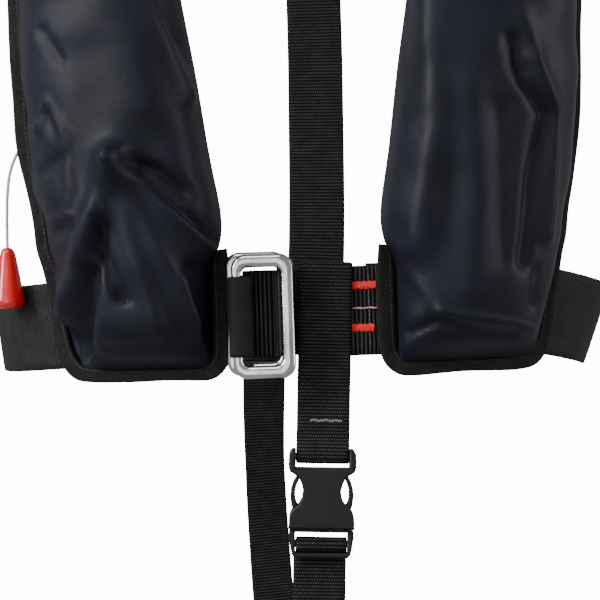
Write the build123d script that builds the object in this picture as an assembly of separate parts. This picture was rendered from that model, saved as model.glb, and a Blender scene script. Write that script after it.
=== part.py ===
from build123d import *

import os
from math import cos, radians, sin

# Inflatable life jacket in its worn shape: a horseshoe cover with a folded air chamber inside,
# a waist belt closed by two steel harness rings, and a crotch strap with a side-release buckle.
# Millimetres. +Z is up, the front of the jacket faces -Y, +X is the wearer's left.
# The origin is the nape: the inner edge of the collar's underside, at the back of the neck.

# ---- driving dimensions ----
NECK_RADIUS = 69.0          # the collar's inner edge, round the wearer's neck
LOBE_YAW = 14.0             # each front lobe turns back round the chest by this much
COLLAR_SLOPE = 35.0         # the collar lies on the upper back at this slope
SHOULDER_SLOPE = 20.0
COLLAR_WIDTH, COLLAR_THICK = 84.0, 30.0
SHOULDER_WIDTH, SHOULDER_THICK = 97.0, 38.0
SHOULDER_Z = -14.6          # underside of the lobe at the top of the shoulder
CHEST_ARC_RADIUS = 75.0     # bend from the shoulder down to the chest
CHEST_ARC_Y = -85.0
CLOTH = 1.2                 # cover fabric
LINING = 1.5
TAPE = 2.6                  # thickness of the bound edge
TAPE_WIDTH = 7.0            # how far the bound edge stands out from the lobe's side
HEM_TOP_Z = -364.0          # below this, the inner edge of a lobe is bound as well

BELT_WIDTH, WEB = 50.0, 2.0
BELT_Z = -393.0
RING_WIDE, RING_TALL, RING_CORNER = 34.8, 69.6, 8.0
RING_THICK = 5.4            # front to back, and across the bar that carries the webbing
RING_BAR = 7.4              # width of a ring's other three bars
REAR_RING_AT = (-26.4, -170.9, -393.0)
FRONT_RING_AT = (-22.6, -178.2, -394.5)
LOOP_HOLE = 3.0             # the webbing's hole round a ring bar
LOOP_WALL = 1.6
BACK_STRAP_WIDTH, BACK_STRAP_X = 38.0, 10.5
CROTCH_WIDTH, CROTCH_WEB = 30.0, 1.8
CROTCH_AT = (12.0, -164.4, BELT_Z)      # where the front crotch strap crosses the belt
CROTCH_LEAN = 2.8
BUCKLE_DROP = 78.5          # from the belt's middle down to the top of the buckle

# One row per height of a front lobe: z, then x and y of the middle of its back face, width, depth.
LOBE_ROWS = [
    (-150, 115, -158, 97, 44),
    (-215, 111, -157, 97, 44),
    (-301, 103, -154, 109, 44),
    (-350, 95, -152, 107, 44),
    (HEM_TOP_Z, 97.4, -151.4, 92.8, 43),
    (-400, 94.3, -152.2, 86.2, 40),
    (-414, 93, -152.5, 83.6, 27),
    (-422, 92.3, -152.7, 81.8, 7),
]
HEM_AT = (95.0, -152.0, -395.0)
LEFT, RIGHT = -1, 1


# ---- the horseshoe: stations along each half, from the nape to the bottom of the lobe ----
class Station:
    """A cross-section: u runs outward from the neck, v from the body side to the outside."""

    def __init__(self, back, radial, facing, tilt, width, depth):
        a = radians(tilt)
        self.back, self.width, self.depth = Vector(*back), width, depth
        self.u = Vector(*radial) * cos(a) - Vector(*facing) * sin(a)
        self.v = Vector(*facing) * cos(a) + Vector(*radial) * sin(a)

    def plane(self):
        return Plane(origin=self.back, x_dir=self.u, z_dir=self.u.cross(self.v))


def between(a, b, share):
    return a + (b - a) * share


def collar_station(side, degrees):
    """On the arc round the neck: 90 is the nape and 0 the top of the shoulder."""
    share = 1 - degrees / 90
    width = between(COLLAR_WIDTH, SHOULDER_WIDTH, share)
    tilt = between(COLLAR_SLOPE, SHOULDER_SLOPE, share)
    a, b = radians(degrees), radians(tilt)
    radial = (side * cos(a), sin(a), 0)
    radius = NECK_RADIUS + width / 2 * cos(b)
    nape_z = -COLLAR_WIDTH / 2 * sin(radians(COLLAR_SLOPE))
    back = (radius * radial[0], radius * radial[1] - NECK_RADIUS, between(nape_z, SHOULDER_Z, share))
    return Station(back, radial, (0, 0, 1), tilt, width, between(COLLAR_THICK, SHOULDER_THICK, share))


def chest_station(side, degrees):
    """On the bend over the shoulder: 0 is its top and 90 where the chest starts."""
    a, share = radians(degrees), degrees / 90
    back = (
        side * between(114.6, 116, share),
        CHEST_ARC_Y - CHEST_ARC_RADIUS * sin(a),
        SHOULDER_Z - CHEST_ARC_RADIUS * (1 - cos(a)),
    )
    tilt = between(SHOULDER_SLOPE, LOBE_YAW, share)
    depth = between(SHOULDER_THICK, 43, share)
    return Station(back, (side, 0, 0), (0, -sin(a), cos(a)), tilt, SHOULDER_WIDTH, depth)


def lobe_station(side, row):
    z, x, y, width, depth = row
    return Station((side * x, y, z), (side, 0, 0), (0, -1, 0), LOBE_YAW, width, depth)


def collar_stations(side):
    return [collar_station(side, d) for d in (90, 67.5, 45)]


def lobe_stations(side):
    top = [collar_station(side, d) for d in (45, 22.5, 0)]
    bend = [chest_station(side, d) for d in (0, 22.5, 45, 67.5, 90)]
    return top + bend + [lobe_station(side, row) for row in LOBE_ROWS]


def crown(width, depth, base=0.0):
    """Points over a stuffed cross-section, from its inner foot to its outer one."""
    shares = [(-0.5, 0), (-0.5, 0.38), (-0.44, 0.7), (-0.28, 0.92), (0, 1)]
    shares += [(-u, v) for u, v in reversed(shares[:-1])]
    return [(u * width, base + v * depth) for u, v in shares]


def outline(station, points):
    return station.plane() * Polygon(*points, align=None)


def shell(stations):
    """The cover's front panel: a skin over the stuffing, open towards the body."""
    faces = []
    for s in stations:
        inside = crown(s.width - 2 * CLOTH, s.depth - CLOTH)
        faces.append(outline(s, crown(s.width, s.depth) + inside[::-1]))
    return loft(faces, ruled=True)


def flat_strip(stations, edges, thick, base=0.0):
    """A flat band in the back plane; edges(station) gives its two sides along u."""
    faces = []
    for s in stations:
        a, b = edges(s)
        corners = [(a, base), (a, base + thick), (b, base + thick), (b, base)]
        faces.append(outline(s, corners))
    return loft(faces, ruled=True)


def lining_edges(s):
    half = s.width / 2 - CLOTH - 0.15
    return -half, half


def tape_edges(s):
    return s.width / 2 + 0.05, s.width / 2 + TAPE_WIDTH


def both_sides(stations_of):
    """One run of stations from the left half over to the right half, through the nape."""
    return stations_of(LEFT)[::-1] + stations_of(RIGHT)[1:]


def hem_plane(side):
    s = Station((side * HEM_AT[0], HEM_AT[1], HEM_AT[2]), (side, 0, 0), (0, -1, 0), LOBE_YAW, 1, 1)
    return Plane(origin=s.back, x_dir=s.u, z_dir=s.v)


def hem(side):
    """The bound edge round the bottom of a lobe and up its inner corner."""
    down = side     # the plane's own y axis points down on the left

    def at(x, z):
        return (x - HEM_AT[0]) / cos(radians(LOBE_YAW)), down * (z - HEM_AT[2])

    outside = [at(*p) for p in ((42, -364.2), (42, -430), (138, -430), (149.5, -364.2))]
    inside = [at(*p) for p in ((52, -350), (52.2, -422.4), (132.4, -422.4), (142.8, -364.2), (142.8, -350))]
    outer = make_face(Polyline(*outside, close=True))
    outer = fillet([v for v in outer.vertices() if abs(v.Y - outside[1][1]) < 1], 14)
    inner = make_face(Polyline(*inside, close=True))
    return hem_plane(side) * extrude(outer - inner, TAPE, dir=(0, 0, 1))


def bladder():
    """The folded air chamber, one closed piece, with room left for the fittings in each lobe."""
    def whole(side):
        return collar_stations(side) + lobe_stations(side)[1:-2]

    faces = []
    for s in both_sides(whole):
        width, depth = s.width - 2 * CLOTH - 3, s.depth - CLOTH - LINING - 3
        faces.append(outline(s, crown(width, depth, LINING + 1)))
    body = loft(faces, ruled=True)
    inflator_room = fittings_frame(LEFT) * Pos(4, 15, 66) * Box(76, 52, 232)
    tube_room = fittings_frame(RIGHT) * Pos(-4, 14, 10) * Box(44, 50, 210)
    return body - inflator_room - tube_room


def fittings_frame(side):
    """Local axes inside a lobe: x outward, y to the front, z up on the left and down on the right."""
    row = LOBE_ROWS[2]
    return Location(lobe_station(side, row).plane())


# ---- webbing ----
def webbing(points, radii, width):
    """Webbing on edge: a route in the XY plane with rounded corners, with its width along Z."""
    route = FilletPolyline(*[(x, y, 0) for x, y in points], radius=radii)
    start = Plane(origin=route @ 0, x_dir=(0, 0, 1), z_dir=route % 0)
    return sweep(start * Rectangle(width, WEB), path=route)


BELT_ROUTE = [
    (-4, -162), (40, -162), (152, -134.8), (178, -70), (165, 5), (105, 36),
]
BELT_RADII = [55, 55, 60, 60, 60, 60, 60, 60, 55]


def waist_belt():
    """From the right of the rings round the wearer's back to the left of the rings."""
    far = [(-x, y) for x, y in reversed(BELT_ROUTE[1:])]
    far[-1] = (-46.3, -160.6)
    return Pos(0, 0, BELT_Z) * webbing(BELT_ROUTE + far, BELT_RADII, BELT_WIDTH)


def block(low, high):
    size = [h - l for l, h in zip(low, high)]
    centre = [(h + l) / 2 for l, h in zip(low, high)]
    return Pos(*centre) * Box(*size)


def upright_rod(x, y, radius, low, high):
    return Pos(x, y, (low + high) / 2) * Cylinder(radius, high - low)


def ring_loop(ring_at, bar_side, legs, height):
    """Webbing folded round a ring's upright bar, with legs given as plan rectangles."""
    x = ring_at[0] + bar_side * (RING_WIDE - RING_THICK) / 2
    low, high = ring_at[2] - height / 2, ring_at[2] + height / 2
    body = upright_rod(x, ring_at[1], LOOP_HOLE + LOOP_WALL, low, high)
    for (x0, y0), (x1, y1) in legs:
        body += block((x0, y0, low), (x1, y1, high))
    return body - upright_rod(x, ring_at[1], LOOP_HOLE, low - 1, high + 1)


def left_ring_loop():
    legs = [((-36.1, -178), (-33.7, -160.2)), ((-45.6, -163.4), (-33.7, -160.2))]
    return ring_loop(FRONT_RING_AT, -1, legs, 45)


def right_ring_loop():
    legs = [
        ((-10.3, -170), (-7.1, -160.4)),
        ((-10.3, -163.6), (-4.2, -160.4)),
        ((-31, -166.8), (-8, -165)),
    ]
    return ring_loop(REAR_RING_AT, 1, legs, 48)


def ring(centre, slim):
    """A forged harness ring; its slim, round bar on one side carries the webbing."""
    window = RectangleRounded(RING_WIDE - RING_THICK - RING_BAR, RING_TALL - 2 * RING_BAR, RING_CORNER / 2)
    flat = RectangleRounded(RING_WIDE, RING_TALL, RING_CORNER)
    flat -= Pos(slim * (RING_BAR - RING_THICK) / 2, 0) * window
    body = extrude(flat, RING_THICK / 2, both=True)
    rims = body.faces().filter_by(Axis.Z).edges()
    return Pos(*centre) * Rot(90, 0, 0) * fillet(rims, 2.55)


def sleeve(side):
    """The sleeve on the back of a lobe that the belt runs through."""
    frame = Location(hem_plane(side))
    centre = (-6, 0, -3.6)
    outer = Pos(*centre) * Box(58, 60, 7)
    return frame * (outer - Pos(-6, 0, -3.2) * Box(60, 54.6, 4.6))


BACK_STRAP_ROUTE = [
    (38, -29.5), (61, -45.6), (70, -75), (66, -160), (52, -270), (38.6, -352), (38.6, -366),
]


def back_strap():
    """From under the collar down the wearer's back, then round the belt."""
    strap = Plane.YZ * webbing(BACK_STRAP_ROUTE, [12, 25, 60, 80, 20], BACK_STRAP_WIDTH)
    half = BELT_WIDTH / 2
    loop = block((-19, 32.4, BELT_Z - half - 3.5), (19, 39.6, BELT_Z + half + 3.5))
    hole = block((-20, 34.6, BELT_Z - half - 0.8), (20, 37.4, BELT_Z + half + 0.8))
    return Pos(BACK_STRAP_X, 0, 0) * (strap + (loop - hole))


def belt_tail():
    return block((30, 37.4, BELT_Z - 24), (112, 39.2, BELT_Z + 24))


def belt_slider():
    """Three-bar slide that sets the length of the belt; it moves along the belt's straight back."""
    x, half = 58, 14
    frame = block((x - half, 31.6, BELT_Z - 31), (x + half, 43, BELT_Z + 31))
    frame -= block((x - half - 1, 34.4, BELT_Z - 25.8), (x + half + 1, 40, BELT_Z + 25.8))
    for low in (x - half + 4, x + 2):
        frame -= block((low, 30, BELT_Z - 25.8), (low + 8, 44, BELT_Z + 25.8))
    return fillet(frame.edges().filter_by(Axis.Y).group_by(Axis.Z)[0], 3)


def hang_loop():
    """A small webbing loop at the collar's back edge, for a coat hook."""
    tape = extrude(SlotCenterToCenter(16, 12) - SlotCenterToCenter(16, 9), 6, both=True)
    return collar_station(RIGHT, 90).plane() * Pos(63.1, 1.3, 0) * tape


# ---- the crotch strap and its buckle, drawn upright and then leant with the strap ----
def leant(shape):
    """From upright drawing axes, whose origin is where the strap crosses the belt, to the jacket's."""
    return Location(CROTCH_AT, (0, CROTCH_LEAN, 0)) * shape


def crotch_front_strap():
    """Folded over the belt, sewn to itself, and looped on the buckle's top bar."""
    half, wide = BELT_WIDTH / 2 + 1.2, CROTCH_WIDTH / 2
    front, back = -1.8, 6.6
    strap = block((-wide, front, -half - 2), (wide, back, half + 1.8))
    strap -= block((-wide - 1, 0.4, -half), (wide + 1, 4.6, half))
    strap += block((-wide, front, -BUCKLE_DROP + 1), (wide, front + 2 * CROTCH_WEB, -half - 1))
    top, low = -BUCKLE_DROP + 2.4, -BUCKLE_DROP - 8
    loop = block((-wide, -3.8, low), (wide, 3.8, top)) - block(
        (-wide - 1, -2, low + CROTCH_WEB), (wide + 1, 2, top - CROTCH_WEB)
    )
    return leant(strap + loop)


def in_buckle(shape):
    """Buckle axes: x across, z up from the top of the socket's frame."""
    return leant(Pos(0, 0, -BUCKLE_DROP) * shape)


def plate(points, thick):
    """A flat moulding from points in x and z, centred on its thickness."""
    return Plane.XZ * extrude(make_face(Polyline(*points, close=True)), thick / 2, both=True)


def mirrored(points):
    return points + [(-x, z) for x, z in reversed(points)]


SOCKET_BOTTOM = -44.5


def buckle_socket():
    """The upper half: a strap bar, a waisted body, and a mouth with a pocket for the plug."""
    side = [(18, -2.5), (18, -11), (15.5, -14), (12.5, -15), (9.2, -19), (8.3, -23), (9.4, -28)]
    side += [(13, -32), (17.4, -34.5), (18.3, -38), (18.3, SOCKET_BOTTOM)]
    head = [(13.5, 0), (16.2, 0)]
    body = plate(mirrored(head + side), 11)
    body -= plate(mirrored([(15.3, 1), (15.3, -9.8)]), 12)
    bar = plate(mirrored([(15.6, -1.8), (15.6, -5.6)]), 3.4)
    pocket = plate(mirrored([(16.3, -45), (16.3, -30), (9.4, -26)]), 6.6)
    hollow = plate(mirrored([(12.8, -15.6), (12.8, -45)]), 6.6)
    body = body - pocket - hollow + bar
    return in_buckle(body)


def buckle_plug():
    """The lower half: its frame, the strap bars, and the middle guide that enters the socket."""
    frame = plate(mirrored([(18.2, -44.8), (18.2, -48), (16.6, -60.4)]), 8)
    frame -= plate(mirrored([(14.8, -49), (14.8, -57.2)]), 9)
    frame -= plate(mirrored([(14.8, -45.8), (14.8, -49.2)]), 9)
    bar = plate(mirrored([(15, -50.8), (15, -54.8)]), 3.4)
    neck = plate(mirrored([(2, -45.9), (2, -27)]), 3)
    behind = block((-15, 1.6, -61), (15, 5, -57))
    return in_buckle(frame - behind + bar + neck)


def release_arm(side):
    """A sprung side arm; its bulge shows in the socket's side opening and is what fingers press."""
    outer = [(15.4, -44.6), (15.4, -36), (16.9, -31.5), (17.2, -24), (15.6, -18), (13.8, -16.4)]
    inner = [(12.6, -16.8), (13.6, -19.5), (14.6, -24), (14.2, -31), (12.4, -36), (12.2, -44.6)]
    points = [(side * x, z) for x, z in outer + inner]
    return in_buckle(plate(points, 5.6))


# The long crotch strap: the middle of the webbing, and how far it turns about the vertical.
STRAP_POINTS = [
    (4.4, -161.6, -536, 0), (2, -161, -600, 0), (-1, -154, -655, 0), (-5, -125, -703, 0),
    (-10, -70, -728, 0), (-16, -12, -708, 4), (-22, 22, -655, 12), (-27, 37, -590, 24),
    (-29, 43, -500, 27), (-27, 43.5, -430, 12), (-24, 41.6, -392, 0), (-24, 41.4, -374, 0),
]


def crotch_strap():
    """Up over the plug's bar in front, then down between the legs and up to the belt at the back."""
    middles = [Vector(*p[:3]) for p in STRAP_POINTS]
    faces = []
    for i, (x, y, z, turn) in reversed(list(enumerate(STRAP_POINTS))):
        along = middles[min(i + 1, len(middles) - 1)] - middles[max(i - 1, 0)]
        across = Vector(cos(radians(turn)), sin(radians(turn)), 0)
        place = Plane(origin=(x, y, z), x_dir=across, z_dir=along)
        faces.append(place * Rectangle(CROTCH_WIDTH, WEB))
    wide = CROTCH_WIDTH / 2 - 0.6
    wrap = block((-wide, -3.8, -57), (wide, 3.8, -48.9)) - block((-wide - 1, -2, -55.2), (wide + 1, 2, -50.6))
    drop = block((-wide, 1.9, -66), (wide, 3.8, -56))
    clear_of_bar = block((-20, -6, -61), (20, 1.6, -56.8))
    return loft(faces, ruled=True) + in_buckle(wrap + drop - clear_of_bar)


# ---- inflation fittings, in the local axes of fittings_frame ----
INFLATOR_AT = (-7.0, 19.0, 26.0)
CYLINDER_AHEAD = 6.0        # how far the gas cylinder's axis is in front of the inflator's middle
LEVER_PIVOT = (14.0, 20.0, 30.0)
LEVER_ANGLE = 30.0
LEVER_HALF = 1.5
BALL_RADIUS = 2.8
CORD_RADIUS = 1.0
CORD_POINTS = [
    (29, 20, 42), (29, 20, 29), (36, -4, 24), (56, -9, 19), (71, -10, 2), (75, -10, -22),
    (75, -10, -49),
]
TOGGLE_TALL = 36.0


def left_fitting(shape):
    return fittings_frame(LEFT) * shape


def inflator_body():
    x, y, z = INFLATOR_AT
    body = Pos(x, y, z) * fillet(Box(34, 26, 38).edges().filter_by(Axis.Z), 6)
    ears = block((10, 14, 24), (18, 15.8, 36)) + block((10, 24.2, 24), (18, 26, 36))
    pin = Pos(*LEVER_PIVOT) * Rot(90, 0, 0) * Cylinder(1.6, 12)
    return left_fitting(body + ears + pin)


def inflator_lever():
    """A forked lever: the cord runs between its prongs, and the ball on the cord pulls them down."""
    bar = Pos(10, 0, 0) * Box(21, 8, 2 * LEVER_HALF) + Rot(90, 0, 0) * Cylinder(3.6, 8)
    bar -= Pos(17.5, 0, 0) * Box(13, 3.4, 8)
    bar -= Rot(90, 0, 0) * Cylinder(1.68, 10)
    return left_fitting(Pos(*LEVER_PIVOT) * Rot(0, -LEVER_ANGLE, 0) * bar)


def co2_cylinder():
    x, y, z = INFLATOR_AT
    low = z + 19.3
    steel = Cylinder(15.5, 112) + Pos(0, 0, 56) * Sphere(15.5)
    neck = Pos(0, 0, -59) * Cylinder(7, 6)
    return left_fitting(Pos(x, y + CYLINDER_AHEAD, low + 62) * (steel + neck))


def bobbin_cap():
    x, y, z = INFLATOR_AT
    return left_fitting(Pos(x, y, z - 19.3 - 10) * Cylinder(12, 20))


def indicator_clip():
    x, y, z = INFLATOR_AT
    return left_fitting(Pos(x + 17.6, y, z - 11) * Box(1, 7, 9))


def manifold():
    x, y, z = INFLATOR_AT
    return left_fitting(Pos(x, y + 14.6, z) * Rot(90, 0, 0) * Cylinder(18, 3))


def pull_cord():
    """The pull cord, from the ball above the lever's fork to the handle."""
    runs = [Vector(*b) - Vector(*a) for a, b in zip(CORD_POINTS, CORD_POINTS[1:])]
    radii = []
    for a, b in zip(runs, runs[1:]):
        half_turn = radians(a.get_angle(b) / 2)
        radii.append(0.45 * min(a.length, b.length) * cos(half_turn) / sin(half_turn))
    print("cord radii", [round(r, 1) for r in radii])
    route = FilletPolyline(*CORD_POINTS, radius=radii)
    start = Plane(origin=route @ 0, z_dir=route % 0)
    tube = sweep(start * Circle(CORD_RADIUS), path=route)
    print("cord volume share", round(tube.volume / (3.14159265 * CORD_RADIUS**2 * route.length), 4))
    return left_fitting(tube)


def cord_ball():
    x, y, z = CORD_POINTS[0]
    ball = Pos(x, y, z + 0.6 * BALL_RADIUS) * Sphere(BALL_RADIUS)
    return left_fitting(ball - block((x - 5, y - 5, z - 5), (x + 5, y + 5, z)))


def pull_toggle():
    """The teardrop handle: narrow at the cord, wide and rounded at the bottom."""
    x, y, z = CORD_POINTS[-1]
    profile = make_face(
        Polyline((0, 0), (2.6, 0))
        + TangentArc((2.6, 0), (4.6, -2.2), tangent=(1, 0))
        + Line((4.6, -2.2), (9.6, -28))
        + ThreePointArc((9.6, -28), (8.2, -33.6), (4, -TOGGLE_TALL))
        + Polyline((4, -TOGGLE_TALL), (0, -TOGGLE_TALL), (0, 0))
    )
    return left_fitting(Pos(x, y, z) * revolve(Plane.XZ * profile, Axis.Z))


def oral_tube():
    """The tube for topping up by mouth, on the right; z runs down in this lobe's axes."""
    tube = Cylinder(6.5, 90) - Cylinder(4.5, 91)
    foot = Pos(0, 0, 46.5) * Cylinder(15, 3)
    return fittings_frame(RIGHT) * Pos(-6, 18, -10) * (tube + foot)


def oral_cap():
    cap = Cylinder(8.5, 14) - Pos(0, 0, 2) * Cylinder(6.8, 10.2)
    return fittings_frame(RIGHT) * Pos(-6, 18, -10 - 45 - 2.3) * cap


def whistle():
    body = Box(12, 10, 34) + Pos(3, 0, 12) * Rot(90, 0, 0) * Cylinder(9, 10)
    return fittings_frame(RIGHT) * Pos(-4, 18, 66) * (body - Pos(0, 0, -14) * Box(7, 5, 8))


# ---- sewing that shows ----
def red_bartacks():
    rows = [(-378.7, 4.4), (-391.6, 1.0), (-402.8, 4.4)]
    made = [block((28.5, -163.7, z - tall / 2), (41, -163.05, z + tall / 2)) for z, tall in rows]
    return Compound(children=made)


def strap_bartack():
    return leant(block((-7, -2.4, -62.6), (10, -1.85, -61.2)))


def lined(stations):
    return flat_strip(stations, lining_edges, LINING)


def slotted_lining(side):
    """A lobe's back panel; the left one has a slot that the pull cord runs through."""
    panel = lined(lobe_stations(side))
    if side == LEFT:
        panel -= fittings_frame(LEFT) * block((29, -4, -6), (43, 5, 34))
    return panel


def all_nodes():
    nodes = {}
    for side, word in ((LEFT, "left"), (RIGHT, "right")):
        edge_stations = lobe_stations(side)[:-3]
        nodes[f"{word}_lobe_cover"] = shell(lobe_stations(side))
        nodes[f"{word}_lobe_lining"] = slotted_lining(side)
        nodes[f"{word}_edge_binding"] = flat_strip(edge_stations, tape_edges, TAPE)
        nodes[f"{word}_hem_binding"] = hem(side)
        nodes[f"{word}_belt_sleeve"] = sleeve(side)
        nodes[f"{word}_release_arm"] = release_arm(side)
    nodes["collar_cover"] = shell(both_sides(collar_stations))
    nodes["collar_lining"] = lined(both_sides(collar_stations))
    nodes["collar_binding"] = flat_strip(both_sides(collar_stations), tape_edges, TAPE)
    for make in (
        bladder, waist_belt, belt_tail, belt_slider, left_ring_loop, right_ring_loop, back_strap,
        hang_loop, crotch_front_strap, crotch_strap, buckle_socket, buckle_plug,
        inflator_body, inflator_lever, co2_cylinder, bobbin_cap, indicator_clip, manifold,
        pull_cord, cord_ball, pull_toggle, oral_tube, oral_cap, whistle, red_bartacks, strap_bartack,
    ):
        nodes[make.__name__] = make()
    nodes["front_ring"] = ring(FRONT_RING_AT, LEFT)
    nodes["rear_ring"] = ring(REAR_RING_AT, RIGHT)
    return nodes


os.makedirs("parts", exist_ok=True)
for name, shape in all_nodes().items():
    export_step(shape, f"parts/{name}.step")
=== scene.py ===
import math
from math import cos, pi, radians, sin

import bpy
import numpy as np
from mathutils import Euler, Matrix, Vector


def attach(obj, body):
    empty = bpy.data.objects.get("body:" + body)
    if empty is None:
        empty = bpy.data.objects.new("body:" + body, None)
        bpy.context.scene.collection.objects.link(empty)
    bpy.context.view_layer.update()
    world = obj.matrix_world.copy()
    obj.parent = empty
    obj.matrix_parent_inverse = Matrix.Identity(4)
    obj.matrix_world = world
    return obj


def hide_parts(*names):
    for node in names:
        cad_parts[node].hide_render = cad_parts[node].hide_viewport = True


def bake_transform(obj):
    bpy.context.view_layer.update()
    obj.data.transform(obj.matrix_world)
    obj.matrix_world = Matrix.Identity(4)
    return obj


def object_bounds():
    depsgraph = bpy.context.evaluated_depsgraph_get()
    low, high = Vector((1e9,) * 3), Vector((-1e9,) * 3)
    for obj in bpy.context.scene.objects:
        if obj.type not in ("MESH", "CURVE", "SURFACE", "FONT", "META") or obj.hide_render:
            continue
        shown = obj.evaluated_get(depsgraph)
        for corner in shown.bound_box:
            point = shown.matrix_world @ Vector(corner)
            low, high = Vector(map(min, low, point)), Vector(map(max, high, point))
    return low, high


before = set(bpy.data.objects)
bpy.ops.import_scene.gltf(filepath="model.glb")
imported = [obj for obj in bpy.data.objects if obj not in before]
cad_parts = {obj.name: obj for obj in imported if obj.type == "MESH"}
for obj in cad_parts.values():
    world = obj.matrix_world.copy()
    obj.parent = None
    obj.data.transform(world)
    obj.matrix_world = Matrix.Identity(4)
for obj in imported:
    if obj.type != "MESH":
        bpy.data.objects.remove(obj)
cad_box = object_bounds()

# Meshes are laid out in millimetres, in the model's frame, and MM turns them into Blender's metres.
MM = 0.001
BODY = "jacket"
LEFT, RIGHT = -1, 1
LOBE_TURN = 14                  # degrees that each lobe's front faces outwards
STRAP_LEAN = radians(2.8)       # the front crotch strap hangs this far from upright
WHITE = 14.0                    # strength at which the studio's paper and background come out white


# ---------------------------------------------------------------- camera
CAMERA_PLACE = (-0.002, -1.073, -0.386)     # metres
CAMERA_ROLL = radians(1.8)


def aim_camera():
    data = bpy.data.cameras.new("camera")
    data.sensor_width = 36
    data.lens = 96.4
    data.clip_start = 0.05
    data.clip_end = 50
    camera = bpy.data.objects.new("camera", data)
    bpy.context.scene.collection.objects.link(camera)
    level = Euler((radians(90), 0, 0)).to_matrix().to_4x4()
    roll = Matrix.Rotation(CAMERA_ROLL, 4, "Y")
    camera.matrix_world = Matrix.Translation(CAMERA_PLACE) @ roll @ level
    bpy.context.scene.camera = camera


aim_camera()


# ---------------------------------------------------------------- node materials
class Shader:
    """A Principled material whose colour, roughness and bump come from nodes."""

    def __init__(self, name, roughness=0.5, metallic=0.0, **inputs):
        self.mat = bpy.data.materials.new(name)
        self.mat.use_nodes = True
        self.nodes = self.mat.node_tree.nodes
        self.links = self.mat.node_tree.links
        self.out = self.nodes["Principled BSDF"]
        self.out.inputs["Roughness"].default_value = roughness
        self.out.inputs["Metallic"].default_value = metallic
        for key, value in inputs.items():
            self.out.inputs[key.replace("_", " ").title().replace("Ior", "IOR")].default_value = value

    def plug(self, socket, value):
        if hasattr(value, "is_output"):
            self.links.new(value, socket)
        else:
            socket.default_value = value

    def math(self, operation, a, b=0.0, c=0.0):
        node = self.nodes.new("ShaderNodeMath")
        node.operation = operation
        for socket, value in zip(node.inputs, (a, b, c)):
            self.plug(socket, value)
        return node.outputs[0]

    def object_position(self):
        return self.nodes.new("ShaderNodeTexCoord").outputs["Object"]

    def uv(self):
        """Across and along a strap, in millimetres."""
        split = self.nodes.new("ShaderNodeSeparateXYZ")
        self.links.new(self.nodes.new("ShaderNodeTexCoord").outputs["UV"], split.inputs[0])
        return [self.math("MULTIPLY", split.outputs[i], 1000.0) for i in (0, 1)]

    def noise(self, scale, detail=3.0, stretch=(1, 1, 1)):
        place = self.nodes.new("ShaderNodeMapping")
        place.inputs["Scale"].default_value = stretch
        self.links.new(self.object_position(), place.inputs["Vector"])
        node = self.nodes.new("ShaderNodeTexNoise")
        node.inputs["Scale"].default_value = scale
        node.inputs["Detail"].default_value = detail
        self.links.new(place.outputs[0], node.inputs["Vector"])
        return node.outputs["Fac"]

    def remap(self, value, low, high, to_low=0.0, to_high=1.0):
        node = self.nodes.new("ShaderNodeMapRange")
        for socket, v in zip(node.inputs, (value, low, high, to_low, to_high)):
            self.plug(socket, v)
        return node.outputs[0]

    def mix(self, share, dark, light):
        node = self.nodes.new("ShaderNodeMix")
        node.data_type = "RGBA"
        self.plug(node.inputs["Factor"], share)
        for socket, value in ((node.inputs[6], dark), (node.inputs[7], light)):
            self.plug(socket, value if hasattr(value, "is_output") else (*value, 1))
        return node.outputs[2]

    def colour(self, value):
        self.links.new(value, self.out.inputs["Base Color"])
        return self

    def rough(self, value):
        self.links.new(value, self.out.inputs["Roughness"])
        return self

    def bump(self, *layers):
        """Layers of (height, depth in metres), the coarse ones first."""
        last = None
        for height, depth in layers:
            node = self.nodes.new("ShaderNodeBump")
            node.inputs["Strength"].default_value = 1.0
            node.inputs["Distance"].default_value = depth
            self.plug(node.inputs["Height"], height)
            if last:
                self.links.new(last, node.inputs["Normal"])
            last = node.outputs[0]
        self.links.new(last, self.out.inputs["Normal"])
        return self


def cover_cloth():
    """Satin nylon: black with a blue cast, a fine weave and a little puckering."""
    s = Shader("cover_cloth", specular_ior_level=0.15)
    broad = s.noise(9, 4)
    s.colour(s.mix(s.remap(broad, 0.3, 0.7), (0.0075, 0.0078, 0.0140), (0.0102, 0.0106, 0.0185)))
    s.rough(s.remap(broad, 0.3, 0.7, 0.40, 0.50))
    split = s.nodes.new("ShaderNodeSeparateXYZ")
    s.links.new(s.object_position(), split.inputs[0])
    yarn = 0.0009
    across = s.math("SINE", s.math("MULTIPLY", split.outputs[0], 2 * pi / yarn))
    along = s.math("SINE", s.math("MULTIPLY", split.outputs[2], 2 * pi / yarn))
    weave = s.math("MULTIPLY", across, along)
    return s.bump((s.noise(70, 5), 0.0006), (s.noise(260, 3), 0.00012), (weave, 0.00003)).mat


def lining_cloth():
    s = Shader("lining_cloth", roughness=0.75)
    s.colour(s.mix(s.remap(s.noise(40, 5), 0.3, 0.7), (0.012, 0.012, 0.014), (0.02, 0.02, 0.023)))
    return s.bump((s.noise(60, 4), 0.0008), (s.noise(1500, 2), 0.0001)).mat


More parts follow.
